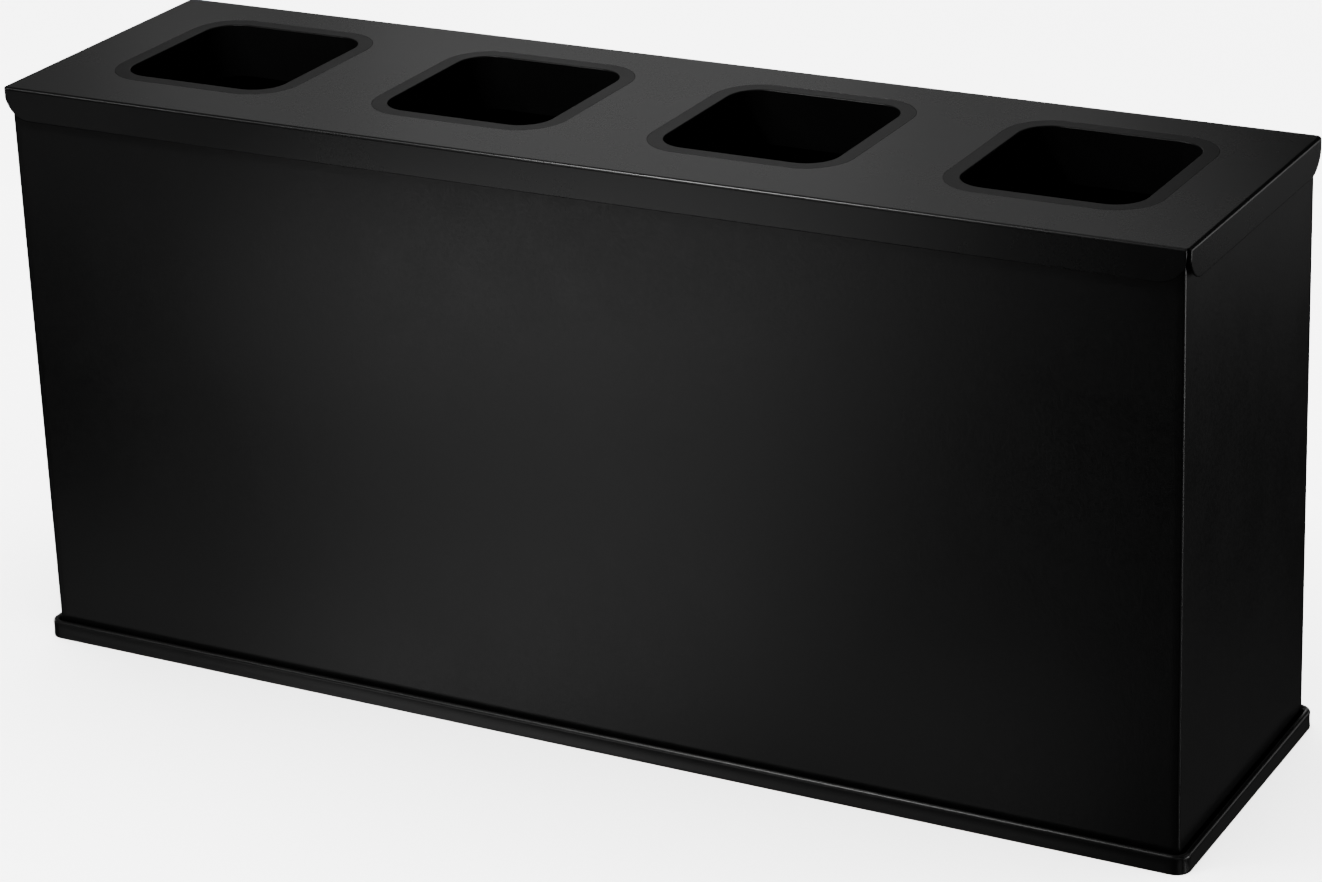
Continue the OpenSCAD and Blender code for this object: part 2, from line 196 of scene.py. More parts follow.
def outline(half, radius, side_steps=SIDE_STEPS):
    """Rounded rectangle about the origin, anticlockwise from the right end of its front side.

    Each corner is a quarter circle, and a straight run joins it to the next.
    With a half size and a radius of 1 its points are the outward directions of every such rectangle.
    """
    centre = half - radius
    signs = np.array([[1, -1], [1, 1], [-1, 1], [-1, -1]])
    turn = np.radians(np.linspace(-90, 0, ARC_STEPS + 1)) + np.radians([[0], [90], [180], [270]])
    arcs = (signs * centre)[:, None] + radius * np.stack([np.cos(turn), np.sin(turn)], -1)
    share = held_share(side_steps)[1:-1, None]
    sides = arcs[:, -1][:, None] * (1 - share) + np.roll(arcs[:, 0], -1, axis=0)[:, None] * share
    return np.concatenate([arcs, sides], axis=1).reshape(-1, 2)


def band(centre, half, radius, profile):
    """A closed profile carried round a rounded rectangle.

    Each point of the profile is (growth, height): the rectangle grown by the first, at the second.
    """
    loops = [outline(half + growth, max(radius + growth, SHEET_EDGE)) for growth, _ in profile]
    flat = np.stack(loops) + centre
    heights = np.broadcast_to(np.array(profile)[:, 1, None, None], flat.shape[:2] + (1,))
    points = np.concatenate([flat, heights], -1).reshape(-1, 3)
    return points, facing_out(points, grid_quads(len(profile), flat.shape[1], True, True))


def arc(centre, radius, start, end, steps):
    """Points on a circle in a profile's plane, from one angle to another in degrees."""
    turn = np.radians(np.linspace(start, end, steps + 1))
    return np.stack([centre[0] + radius * np.cos(turn), centre[1] + radius * np.sin(turn)], -1)


def edge_half(distance, half, radius):
    """Half a sheet's thickness at a distance from its free edge, so that the edge is rounded."""
    short = np.clip(radius - np.asarray(distance, float), 0, radius)
    return half - radius + np.sqrt(radius * radius - short * short)


def edge_stops(radius):
    """Distances from a free edge at which its rounding, and the flat beside it, need a row of points."""
    return np.append(radius * (1 - np.cos(np.radians(np.linspace(0, 90, EDGE_STEPS + 1)))), radius + HOLD)


def weld(patches):
    """Joins patches where their points meet. A patch is a grid of points, normals and half-thicknesses.

    Gives the points, normals and half-thicknesses of the one surface, and its quads, each turned so
    that it faces along its normals.
    """
    quads, start = [], 0
    for points, _, _ in patches:
        quads.append(start + grid_quads(*points.shape[:2]))
        start += points.shape[0] * points.shape[1]
    quads = np.concatenate(quads)
    points = np.concatenate([p.reshape(-1, 3) for p, _, _ in patches])
    normals = np.concatenate([np.broadcast_to(n, p.shape).reshape(-1, 3) for p, n, _ in patches])
    halves = np.concatenate([np.broadcast_to(h, p.shape[:2]).ravel() for p, _, h in patches])
    diagonals = points[quads[:, 2]] - points[quads[:, 0]], points[quads[:, 3]] - points[quads[:, 1]]
    backward = np.einsum("ij,ij->i", np.cross(*diagonals), normals[quads].sum(1)) < 0
    quads[backward] = quads[backward][:, ::-1]
    _, first, where = np.unique(np.round(points / WELD).astype(np.int64), axis=0,
                                return_index=True, return_inverse=True)
    return points[first], normals[first], halves[first], where.ravel()[quads]


def thicken(points, normals, halves, quads):
    """A closed sheet: the surface moved both ways along its normals, with a strip on each free edge."""
    count = len(points)
    offset = normals * halves[:, None]
    edges = np.stack([quads, np.roll(quads, -1, axis=1)], -1).reshape(-1, 2)
    _, first, uses = np.unique(np.sort(edges, 1), axis=0, return_index=True, return_counts=True)
    start, end = edges[first[uses == 1]].T
    strip = np.stack([end, start, start + count, end + count], -1)
    return np.concatenate([points + offset, points - offset]), np.concatenate(
        [quads, quads[:, ::-1] + count, strip])


def joined(shapes):
    """Several shapes as one set of points and quads."""
    starts = np.cumsum([0] + [len(points) for points, _ in shapes[:-1]])
    quads = [start + faces for start, (_, faces) in zip(starts, shapes)]
    return np.concatenate([points for points, _ in shapes]), np.concatenate(quads)


def placed(name, data):
    """A new object in the scene, which shows a mesh, a light or a camera."""
    thing = bpy.data.objects.new(name, data)
    bpy.context.scene.collection.objects.link(thing)
    return thing


def add_piece(name, shape, body, material, stands_for):
    """Puts a shape into a mesh, smooth but for its sharp edges, and rides it on its body."""
    points, quads = shape
    mesh = bpy.data.meshes.new(name)
    mesh.from_pydata((points * MM).tolist(), [], quads.tolist())
    mesh.validate()
    mesh.shade_smooth()
    mesh.set_sharp_from_angle(angle=SHARP)
    mesh.materials.append(material)
    piece = placed(name, mesh)
    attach(piece, body)
    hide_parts(*stands_for)


# ---- materials ----

POWDER_SIZES = (3.4, 0.9)     # of a powder coat's lumps and of its grain, in millimetres
FINE_SHARE = 0.4              # share of a skin's height that is its fine grain
LUMP_DETAIL = 1.0             # detail of the noise that makes a powder coat's lumps
GRAIN_DETAIL = 2.0            # of a coat's or a moulding's grain
ZINC_DETAIL = 3.0             # and of zinc's
MIDDLE = (0.3, 0.7)           # where a noise's values mostly lie
CLOUD_SIZE = 150.0            # size of a cloud, in millimetres
CLOUD_DETAIL = (6.0, 0.68)    # detail of the clouds' noise, and how rough it is
CLOUD_TONE = 0.5              # share of a finish's tones that the cloud spans
DRIFT_SIZE = 90.0             # size of a drift of dust, in millimetres
DRIFT_DETAIL = (4.0, 0.6)     # detail of the drifts' noise, and how rough it is
DRIFT_RANGE = (0.12, 0.42)    # how a drift starts and fills
DUST_SIZE = 4.0               # size of its clumps
DUST_DETAIL = 3.0             # and their detail
DUST_COLOUR = (0.12, 0.115, 0.105, 1)
DUST_GLOSS = 0.3              # how much rougher full dust is
LEVEL_FACE = (0.55, 0.95)     # upward part of the normal at which dust starts to lie, and lies fully


def add_node(tree, kind, settings=None, **inputs):
    """Adds a shader node: settings are its options, and each input is a socket to link or a value."""
    item = tree.nodes.new(kind)
    for key, value in (settings or {}).items():
        setattr(item, key, value)
    for key, value in inputs.items():
        socket = item.inputs[int(key[1:])] if key[1:].isdigit() else item.inputs[key.replace("_", " ")]
        if isinstance(value, bpy.types.NodeSocket):
            tree.links.new(value, socket)
        else:
            socket.default_value = value
    return item


def math(tree, operation, first, second=0.0, third=0.0):
    """Output of a Math node."""
    settings = {"operation": operation}
    return add_node(tree, "ShaderNodeMath", settings, i0=first, i1=second, i2=third).outputs[0]


def mixed(tree, share, first, second):
    """A colour that runs from the first to the second with a share from 0 to 1."""
    settings = {"data_type": "RGBA"}
    return add_node(tree, "ShaderNodeMix", settings, i0=share, i6=first, i7=second).outputs[2]


def spread(tree, value, low, high, to_low=0.0, to_high=1.0):
    """A value carried from one range to another and held at that range's ends, without a step."""
    item = add_node(tree, "ShaderNodeMapRange", {"interpolation_type": "SMOOTHSTEP"}, Value=value,
                    From_Min=low, From_Max=high, To_Min=to_low, To_Max=to_high)
    return item.outputs[0]


def scale_of(tree, size):
    """Scale at which a texture's lumps are this many millimetres across: one over the size in metres."""
    if isinstance(size, bpy.types.NodeSocket):
        return math(tree, "DIVIDE", 1 / MM, size)
    return 1 / (size * MM)


def noise(tree, place, size, detail, roughness=0.5):
    """Noise whose lumps are about this many millimetres across."""
    return add_node(tree, "ShaderNodeTexNoise", Vector=place, Scale=scale_of(tree, size),
                    Detail=detail, Roughness=roughness).outputs["Fac"]


def new_group(name, inputs, outputs):
    """An empty node group with a place and named values going in, and named values coming out."""
    tree = bpy.data.node_groups.new(name, "ShaderNodeTree")
    tree.interface.new_socket("Place", in_out="INPUT", socket_type="NodeSocketVector")
    for label in inputs:
        tree.interface.new_socket(label, in_out="INPUT", socket_type="NodeSocketFloat")
    for label in outputs:
        tree.interface.new_socket(label, in_out="OUTPUT", socket_type="NodeSocketFloat")
    return tree, tree.nodes.new("NodeGroupInput").outputs, tree.nodes.new("NodeGroupOutput").inputs


def new_skin(name):
    """An empty group for a skin, which gives its height and how strong its specks are."""
    return new_group(name, ["Lump size", "Grain size"], ["Height", "Speck"])


def coat_grain():
    """Height of a cured powder coat: a soft peel under a fine grain, added in shares."""
    tree, given, wanted = new_skin("coat_grain")
    lumps = noise(tree, given["Place"], given["Lump size"], LUMP_DETAIL)
    grain = noise(tree, given["Place"], given["Grain size"], GRAIN_DETAIL)
    height = math(tree, "MULTIPLY_ADD", lumps, 1 - FINE_SHARE, math(tree, "MULTIPLY", grain, FINE_SHARE))
    tree.links.new(height, wanted["Height"])
    tree.links.new(spread(tree, height, *MIDDLE), wanted["Speck"])
    return tree


def moulded_skin():
    """Height of a moulded skin: the rounded pits of an etched mould and a fine grain, added in shares."""
    tree, given, wanted = new_skin("moulded_skin")
    pits = add_node(tree, "ShaderNodeTexVoronoi", {"feature": "SMOOTH_F1"}, Vector=given["Place"],
                    Smoothness=1.0, Scale=scale_of(tree, given["Lump size"])).outputs["Distance"]
    grain = noise(tree, given["Place"], given["Grain size"], GRAIN_DETAIL)
    height = math(tree, "MULTIPLY_ADD", pits, 1 - FINE_SHARE, math(tree, "MULTIPLY", grain, FINE_SHARE))
    tree.links.new(height, wanted["Height"])
    tree.links.new(spread(tree, grain, *MIDDLE), wanted["Speck"])
    return tree


def zinc_spangle():
    """Height and tone of bright zinc: small flat crystals, each at a level of its own, and a grain."""
    tree, given, wanted = new_skin("zinc_spangle")
    crystals = add_node(tree, "ShaderNodeTexVoronoi", Vector=given["Place"],
                        Scale=scale_of(tree, given["Lump size"])).outputs["Color"]
    own = add_node(tree, "ShaderNodeSeparateColor", Color=crystals).outputs["Red"]
    grain = noise(tree, given["Place"], given["Grain size"], ZINC_DETAIL)
    tree.links.new(math(tree, "MULTIPLY_ADD", own, FINE_SHARE, grain), wanted["Height"])
    tree.links.new(own, wanted["Speck"])
    return tree


def coat_cloud():
    """Slow changes across a panel: how evenly a finish lay, from 0 to 1."""
    tree, given, wanted = new_group("coat_cloud", [], ["Cloud"])
    slow = noise(tree, given["Place"], CLOUD_SIZE, *CLOUD_DETAIL)
    tree.links.new(spread(tree, slow, *MIDDLE), wanted["Cloud"])
    return tree


def settled_dust():
    """How much fine dust lies at a place: only on faces that look up, in soft drifts.

    The drifts are the product of a wide noise and a fine one.
    """
    tree, given, wanted = new_group("settled_dust", ["Amount"], ["Dust"])
    normal = add_node(tree, "ShaderNodeNewGeometry").outputs["Normal"]
    upward = add_node(tree, "ShaderNodeSeparateXYZ", Vector=normal).outputs["Z"]
    drifts = math(tree, "MULTIPLY", noise(tree, given["Place"], DRIFT_SIZE, *DRIFT_DETAIL),
                  noise(tree, given["Place"], DUST_SIZE, DUST_DETAIL))
    lying = math(tree, "MULTIPLY", spread(tree, upward, *LEVEL_FACE), spread(tree, drifts, *DRIFT_RANGE))
    tree.links.new(math(tree, "MULTIPLY", lying, given["Amount"]), wanted["Dust"])
    return tree


POWDER, MOULD, ZINC, CLOUD, DUST = coat_grain(), moulded_skin(), zinc_spangle(), coat_cloud(), settled_dust()


def use_group(tree, group, place, **values):
    """Places a node group in a material, with its own values."""
    return add_node(tree, "ShaderNodeGroup", {"node_tree": group}, Place=place, **values).outputs


def finish(name, skin, tones, gloss, sizes, depth,
           dust=0.0, metal=0.0, specular=0.5, warmth=0.0, speck=0.04):
    """A coated, moulded or plated surface.

    Its colour runs from the first tone to the second with the cloud and the skin's specks, its
    roughness from the first gloss to the second. Sizes are those of the skin's lumps and of its
    grain, and depth is how high it stands, all in millimetres. Warmth tints it, blue below 0, and
    speck is how much rougher its specks are.
    """
    material = bpy.data.materials.new(name)
    material.use_nodes = True
    tree = material.node_tree
    shader = tree.nodes["Principled BSDF"]
    place = add_node(tree, "ShaderNodeTexCoord").outputs["Object"]
    skin_out = use_group(tree, skin, place, Lump_size=sizes[0], Grain_size=sizes[1])
    cloud = use_group(tree, CLOUD, place)["Cloud"]
    lying = use_group(tree, DUST, place, Amount=dust)["Dust"]
    specks = math(tree, "MULTIPLY", skin_out["Speck"], 1 - CLOUD_TONE)
    tone = math(tree, "MULTIPLY_ADD", cloud, CLOUD_TONE, specks)
    dark, light = ((level * (1 + warmth), level, level * (1 - warmth), 1) for level in tones)
    base = mixed(tree, tone, dark, light)
    dusty = mixed(tree, lying, base, DUST_COLOUR)
    patchy = math(tree, "MULTIPLY_ADD", skin_out["Speck"], speck, spread(tree, cloud, 0.0, 1.0, *gloss))
    rough = math(tree, "MULTIPLY_ADD", lying, DUST_GLOSS, patchy)
    bump = add_node(tree, "ShaderNodeBump", Strength=1.0, Distance=depth * MM, Height=skin_out["Height"])
    tree.links.new(dusty, shader.inputs["Base Color"])
    tree.links.new(rough, shader.inputs["Roughness"])
    tree.links.new(bump.outputs[0], shader.inputs["Normal"])
    shader.inputs["Metallic"].default_value = metal
    shader.inputs["Specular IOR Level"].default_value = specular
    return material


LID_COAT = finish(
    "lid_coat", POWDER, (0.006, 0.011), (0.262, 0.273), POWDER_SIZES, 0.01,
    dust=0.015, warmth=-0.01, speck=0.003)
SHELL_COAT = finish("shell_coat", POWDER, (0.004, 0.008), (0.285, 0.31), POWDER_SIZES, 0.09, warmth=-0.01)
INNER_COAT = finish(
    "inner_coat", POWDER, (0.012, 0.02), (0.45, 0.55), POWDER_SIZES, 0.12, dust=0.2, warmth=-0.02)
RING_PLASTIC = finish(
    "ring_plastic", MOULD, (0.004, 0.007), (0.33, 0.36), (1.6, 0.5), 0.05, specular=0.3)
LINER_PLASTIC = finish(
    "liner_plastic", MOULD, (0.006, 0.014), (0.42, 0.55), (5.0, 0.9), 0.08, dust=0.15, warmth=-0.03)
TRIM_RUBBER = finish("trim_rubber", MOULD, (0.007, 0.014), (0.27, 0.31), (3.5, 0.6), 0.03, dust=0.05)
BUFFER_RUBBER = finish(
    "buffer_rubber", MOULD, (0.01, 0.02), (0.6, 0.7), (2.0, 0.4), 0.05, warmth=0.02)
ZINC_STEEL = finish(
    "zinc_steel", ZINC, (0.42, 0.62), (0.28, 0.38), (1.2, 0.25), 0.02, metal=1.0, warmth=-0.01)


# ---- lid ----

def lid_stops(low, high):
    """Places along one side of a lid cell, close together where a skirt's corner turns."""
    turn = np.radians(np.linspace(0, 90, ARC_STEPS + 1))
    near = CORNER_RELIEF + SKIRT_CORNER * (1 - np.cos(turn))
    middle = np.linspace(near[-1], high - low - near[-1], SIDE_STEPS + 1)[1:-1]
    stops = np.concatenate([[0], near, middle, (high - low - near)[::-1], [high - low]])
    return low + stops


def cut_out_side(half, radius, steps):
    """Front side of a cut-out, from the middle of its left corner's arc to that of its right one.

    The points are evenly spaced on each half arc, and ARC_CROWDING times wider apart on the straight run.
    """
    bend, run = radius * np.pi / 4, 2 * (half[0] - radius)
    last = steps - 1
    bent = round(last * ARC_CROWDING * bend / (2 * ARC_CROWDING * bend + run))
    along = np.interp(np.arange(steps), [0, bent, last - bent, last], [0, bend, bend + run, 2 * bend + run])
    turn = np.where(along < bend, (along - bend) / radius, np.maximum(along - bend - run, 0) / radius)
    straight = np.clip(along - bend, 0, run) + radius - half[0]
    return np.stack([straight + radius * np.sin(turn), radius - half[1] - radius * np.cos(turn)], -1)


def cut_out(half, radius, across, up):
    """The four sides of a cut-out in turn, front, right, back and left, with their counts of points."""
    front = cut_out_side(half, radius, across)
    right = cut_out_side(half[::-1], radius, up)
    quarter = np.array([[0, 1], [-1, 0]])
    return np.concatenate([front, right @ quarter, -front, -right @ quarter])


def lid_cell(low, high, centre, half, radius, level):
    """The lid's plate round one cut-out: rings of points that run from the cut-out to the cell's sides."""
    across, back = lid_stops(low[0], high[0]), lid_stops(low[1], high[1])
    frame_side = np.concatenate([
        np.stack(np.broadcast_arrays(x, y), -1)
        for x, y in ((across, low[1]), (high[0], back), (across[::-1], high[1]), (low[0], back[::-1]))])
    steps = len(across)
    rounding = edge_stops(CUT_OUT_EDGE)
    rings = [centre + cut_out(half + growth, radius + growth, steps, steps) for growth in rounding]
    share = held_share(PLATE_RINGS)[2:, None, None]
    rings = np.concatenate([np.stack(rings), rings[-1] * (1 - share) + frame_side * share])
    points = np.concatenate([rings, np.full(rings.shape[:2] + (1,), level)], -1)
    halves = np.full(len(rings), LID_SHEET / 2)
    halves[:len(rounding)] = edge_half(rounding, LID_SHEET / 2, CUT_OUT_EDGE)
    return points, (0, 0, 1), halves[:, None]


def lid_flap(stops, reach, top, bottom, turn):
    """One folded skirt, worked out for the front and turned about Z by quarter turns.

    A quarter circle runs from the plate to the upright, and each column then drops to the lower
    edge, which is a quarter circle near each end of the skirt.
    """
    half = LID_SHEET / 2
    radius = LID_FOLD - half
    bend = np.radians(np.linspace(0, 90, FOLD_STEPS + 1))
    end = np.minimum(stops - stops[0], stops[-1] - stops)
    into = np.clip(SKIRT_CORNER - end, 0, SKIRT_CORNER)
    lower = bottom + SKIRT_CORNER - np.sqrt(SKIRT_CORNER ** 2 - into ** 2)
    fold_level = top - LID_FOLD
    rounding = edge_stops(SKIRT_EDGE)[::-1]
    share = held_share(SKIRT_ROWS)[1:-2, None]
    drop = fold_level * (1 - share) + (lower + rounding[0]) * share
    turned = np.broadcast_to((fold_level + radius * np.cos(bend))[:, None], (len(bend), len(stops)))
    height = np.concatenate([turned, drop, lower + rounding[:, None]])
    out = np.concatenate([radius * np.sin(bend), np.full(len(height) - len(bend), radius)])
    tilt = np.concatenate([bend, np.full(len(height) - len(bend), np.pi / 2)])
    x = np.broadcast_to(stops, height.shape)
    y = np.broadcast_to(-reach - out[:, None], height.shape)
    normal = np.stack([np.zeros_like(tilt), -np.sin(tilt), np.cos(tilt)], -1)[:, None]
    fade = (tilt / (np.pi / 2))[:, None]
    thin_end = (half - edge_half(end, half, SKIRT_EDGE)) * fade
    thin_low = half - edge_half(height - lower, half, SKIRT_EDGE)
    halves = half - np.maximum(thin_end, thin_low)
    spin = np.round(np.array(Matrix.Rotation(turn * np.pi / 2, 3, "Z")))
    return np.stack([x, y, height], -1) @ spin.T, normal @ spin.T, halves


def make_lid():
    """The lid: one folded sheet with a plate of four cells and a skirt on each side."""
    low, high = corners("lid")
    plate = high[:2] - LID_FOLD
    level = high[2] - LID_SHEET / 2
    patches = []
    for low_x, high_x, centre, half in cells(plate):
        growth = RING_FACE + RING_GAP
        patches.append(lid_cell(np.array([low_x, -plate[1]]), np.array([high_x, plate[1]]), centre,
                                half + growth, APERTURE_CORNER + growth, level))
    along = np.round(np.concatenate([lid_stops(a, b) for a, b, _, _ in cells(plate)]), STOP_DECIMALS)
    along = np.unique(along)[1:-1]
    back = lid_stops(-plate[1], plate[1])[1:-1]
    for turn in range(4):
        stops, reach = (along, plate[1]) if turn % 2 == 0 else (back, plate[0])
        patches.append(lid_flap(stops, reach, high[2], low[2], turn))
    return thicken(*weld(patches))


def cells(plate):
    """For each aperture: its cell's left and right ends, its middle, and half its length and depth."""
    rings = [corners(name) for name in RINGS]
    middles = np.array([(low + high)[:2] / 2 for low, high in rings])
    half = (rings[0][1] - rings[0][0])[:2] / 2 - RING_REACH
    borders = np.concatenate([[-plate[0]], (middles[1:, 0] + middles[:-1, 0]) / 2, [plate[0]]])
    return [(borders[k], borders[k + 1], middles[k], half) for k in range(len(rings))]


# ---- rings ----

def ring_profile(top, bottom):
    """Section of a ring: collar, flush face, ledge under the lid, and back down outside the collar."""
    tip = RING_WALL / 2
    under = top - LID_SHEET
    return held_path(np.concatenate([
        arc((tip, bottom + tip), tip, 0, -180, TIP_STEPS),
        arc((RING_LIP, top - RING_LIP), RING_LIP, 180, 90, LIP_STEPS),
        arc((RING_FACE - CUT_OUT_EDGE, top - CUT_OUT_EDGE), CUT_OUT_EDGE, 90, 0, EDGE_STEPS),
        [(RING_FACE, under)],
        arc((RING_REACH - SHEET_EDGE, under - SHEET_EDGE), SHEET_EDGE, 90, 0, EDGE_STEPS),
        arc((RING_REACH - SHEET_EDGE, under - RING_LEDGE + SHEET_EDGE), SHEET_EDGE, 0, -90, EDGE_STEPS),
        arc((RING_WALL + RING_LIP, under - RING_LEDGE - RING_LIP), RING_LIP, 90, 180, LIP_STEPS),
    ]))


def make_ring(name):
    """One aperture ring: its section carried round the aperture."""
    low, high = corners(name)
    half = (high - low)[:2] / 2 - RING_REACH
    return band((low + high)[:2] / 2, half, APERTURE_CORNER, ring_profile(high[2], low[2]))


# ---- shell ----

def shell_rows(bottom, top):
    """Heights of the shell's rows of points, with its edges' rounding and the rear flanges' ends."""
    rounding = edge_stops(SHELL_EDGE)
    middle = np.linspace(RETURN_LOW, RETURN_HIGH, SHELL_ROWS + 1)
    return np.concatenate([bottom + rounding, [RETURN_LOW - RETURN_RELIEF], middle,
                           [RETURN_HIGH + RETURN_RELIEF], top - rounding[::-1]])


def upright(path, facing, heights, halves):
    """A wall: a path seen from above, repeated at each height."""
    rows, columns = len(heights), len(path)
    points = np.empty((rows, columns, 3))
    points[..., :2] = path
    points[..., 2] = heights[:, None]
    normals = np.zeros((rows, columns, 3))
    normals[..., :2] = facing
    return points, normals, np.broadcast_to(halves, (rows, columns))


def fold(centre, radius, start, end):
    """Path and outward directions of an upright fold, seen from above, angles in degrees."""
    turn = np.radians(np.linspace(start, end, FOLD_STEPS + 1))
    facing = np.stack([np.cos(turn), np.sin(turn)], -1)
    return np.array(centre) + radius * facing, facing


def make_shell():
    """Front and both sides, folded from one sheet, with a flange turned in at each end.

    The front is a little out of flat: it dips inwards by a product of slow sine waves that die
    away towards its folds and its edges.
    """
    low, high = corners("shell_wrap")
    heights = shell_rows(low[2], high[2])
    half = SHELL_SHEET / 2
    halves = edge_half(np.minimum(heights - low[2], high[2] - heights), half, SHELL_EDGE)[:, None]
    radius = SHELL_FOLD - half
    end, front = high[0] - SHELL_FOLD, low[1] + SHELL_FOLD
    back = high[1] - SHELL_FOLD
    run = end * (2 * held_share(FRONT_COLUMNS)[1:-1] - 1)
    side = back + (front - back) * held_share(SIDE_COLUMNS)[:-1]
    left = np.stack([np.full_like(side, low[0] + half), side], -1)
    left_fold, left_facing = fold((-end, front), radius, 180, 270)
    right_fold, right_facing = fold((end, front), radius, 270, 360)
    ahead = np.stack([run, np.full_like(run, low[1] + half)], -1)
    path = np.concatenate([left, left_fold, ahead, right_fold, left[::-1] * (-1, 1)])
    left_out, ahead_out = np.tile((-1, 0), (len(left), 1)), np.tile((0, -1), (len(ahead), 1))
    facing = np.concatenate([left_out, left_facing, ahead_out, right_facing, -left_out])
    points, normals, halves = upright(path, facing, heights, halves)
    first = len(left) + len(left_fold)
    share = (run / end + 1) / 2
    rise = ((heights - low[2]) / (high[2] - low[2]))[:, None]
    first_wave = np.sin(WAVE_ALONG[0] * share + WAVE_UP[0] * rise)
    second_wave = np.cos(WAVE_UP[1] * rise - WAVE_ALONG[1] * share)
    held = np.sqrt(np.sin(np.pi * share)) * np.sin(np.pi * rise)
    points[:, first:first + len(run), 1] += WAVE_DEPTH * held * (1 + first_wave * second_wave) / 2
    patches = [(points, normals, halves)]
    flange_rows = heights[(heights > RETURN_LOW - WELD) & (heights < RETURN_HIGH + WELD)]
    tails = [heights < RETURN_LOW - WELD, heights > RETURN_HIGH + WELD]
    for turned in (-1, 1):
        bend, bend_facing = fold((turned * end, back), radius, 90 - 90 * turned, 90)
        flange = end + (high[0] - RETURN_WIDTH - end) * held_share(FLANGE_COLUMNS)[1:]
        flat = np.stack([turned * flange, np.full_like(flange, back + radius)], -1)
        facing = np.concatenate([bend_facing, np.tile((0, 1), (len(flat), 1))])
        patches.append(upright(np.concatenate([bend, flat]), facing, flange_rows, half))
        for tail in tails:
            strip = np.array([(turned * (high[0] - half), back), (turned * (high[0] - half), high[1])])
            patches.append(upright(strip, (turned, 0), heights[tail], halves[tail][:, :1]))
    return thicken(*weld(patches))


def make_rear_panel():
    """The rear panel: a flat sheet with rounded edges."""
    low, high = corners("rear_panel")
    half = SHELL_SHEET / 2
    rounding = edge_stops(SHELL_EDGE)
    x, z = (np.concatenate([a + rounding, np.linspace(a, b, REAR_STEPS + 1)[1:-1], b - rounding[::-1]])
            for a, b in ((low[0], high[0]), (low[2], high[2])))
    distance = np.minimum(np.minimum(x - low[0], high[0] - x), np.minimum(z - low[2], high[2] - z)[:, None])
    points = np.stack(np.broadcast_arrays(x, high[1] - half, z[:, None]), -1)
    return thicken(*weld([(points, (0, 1, 0), edge_half(distance, half, SHELL_EDGE))]))


# ---- foot ----

def trim_profile(low, high):
    """Section of the foot: an upright bead, hollow outside and round on top, and the ledge behind it."""
    radius = BEAD / 2
    reach = (high - low) / HOLLOW_PART
    hollow = (reach * reach + WAIST * WAIST) / (2 * WAIST)
    spread_angle = np.degrees(np.arcsin(reach / hollow))
    soft = SHEET_EDGE
    inner = BEAD + CHANNEL + LEDGE_WIDTH
    return held_path(np.concatenate([
        arc((-soft, low + soft), soft, -90, 0, EDGE_STEPS),
        arc((hollow - WAIST, (low + high) / 2), hollow, 180 + spread_angle, 180 - spread_angle, HOLLOW_STEPS),
        arc((-radius, high - radius), radius, 0, 180, BEAD_STEPS),
        arc((-BEAD - soft, low + LEDGE + soft), soft, 0, -90, EDGE_STEPS),
        [(-inner, low + LEDGE), (-inner, low)],
    ]))


def make_trim():
    """The foot: its section carried round the station."""
    low, high = corners("base_trim")
    return band((low + high)[:2] / 2, (high - low)[:2] / 2, TRIM_CORNER, trim_profile(low[2], high[2]))


# ---- rivets ----

def rivet_profile():
    """Half section of a blind rivet, from the stub in its head out over the dome and down to its bulb."""
    dome = (RIVET_HEAD ** 2 + RIVET_RISE ** 2) / (2 * RIVET_RISE)
    rim = np.degrees(np.arcsin(STUB_HOLE / dome)), np.degrees(np.arcsin((RIVET_HEAD - RIVET_BRIM) / dome))
    skin = arc((0, RIVET_RISE - dome), dome, 90 - rim[0], 90 - rim[1], FOLD_STEPS)
    bulb = RIVET_SHANK * BULB
    return np.concatenate([
        [(STUB_HOLE * STUB_TAPER, STUB_LEVEL), (STUB_HOLE, STUB_LEVEL + RIVET_BRIM)],
        skin,
        [(RIVET_HEAD, RIVET_BRIM), (RIVET_HEAD, 0), (RIVET_SHANK, 0), (RIVET_SHANK, -RIVET_GRIP)],
        [(bulb, -RIVET_GRIP), (bulb * STUB_TAPER, -RIVET_GRIP - bulb)],
    ])


def make_rivets():
    """The rear panel's rivets: one half section turned round the middle of each head."""
    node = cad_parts["rear_rivets"].data
    spots = np.empty(len(node.vertices) * 3)
    node.vertices.foreach_get("co", spots)
    spots = spots.reshape(-1, 3) / MM
    tops = spots[spots[:, 1] > spots[:, 1].max() - HEAD_TOP].round(HEAD_DECIMALS)
    middles = np.unique(tops[:, ::2], axis=0)
    profile = rivet_profile()
    turn = np.linspace(0, 2 * np.pi, RIVET_STEPS + 1)[:-1]
    out, rise = profile.T
    x, z = out[:, None] * np.cos(turn), out[:, None] * np.sin(turn)
    wheel = np.stack(np.broadcast_arrays(x, rise[:, None], z), -1).reshape(-1, 3)
    base = corners("rear_panel")[1][1]
    rung = np.arange(RIVET_STEPS // 2 - 1)
    cap = np.stack([rung, rung + 1, RIVET_STEPS - 2 - rung, RIVET_STEPS - 1 - rung], -1)
    last = (len(profile) - 1) * RIVET_STEPS
    skin = grid_quads(len(profile), RIVET_STEPS, wrap_columns=True)
    quads = facing_out(wheel, np.concatenate([cap, skin, cap[:, ::-1] + last]))
    return joined([(wheel + (x, base, z), quads) for x, z in middles])


# ---- liners ----

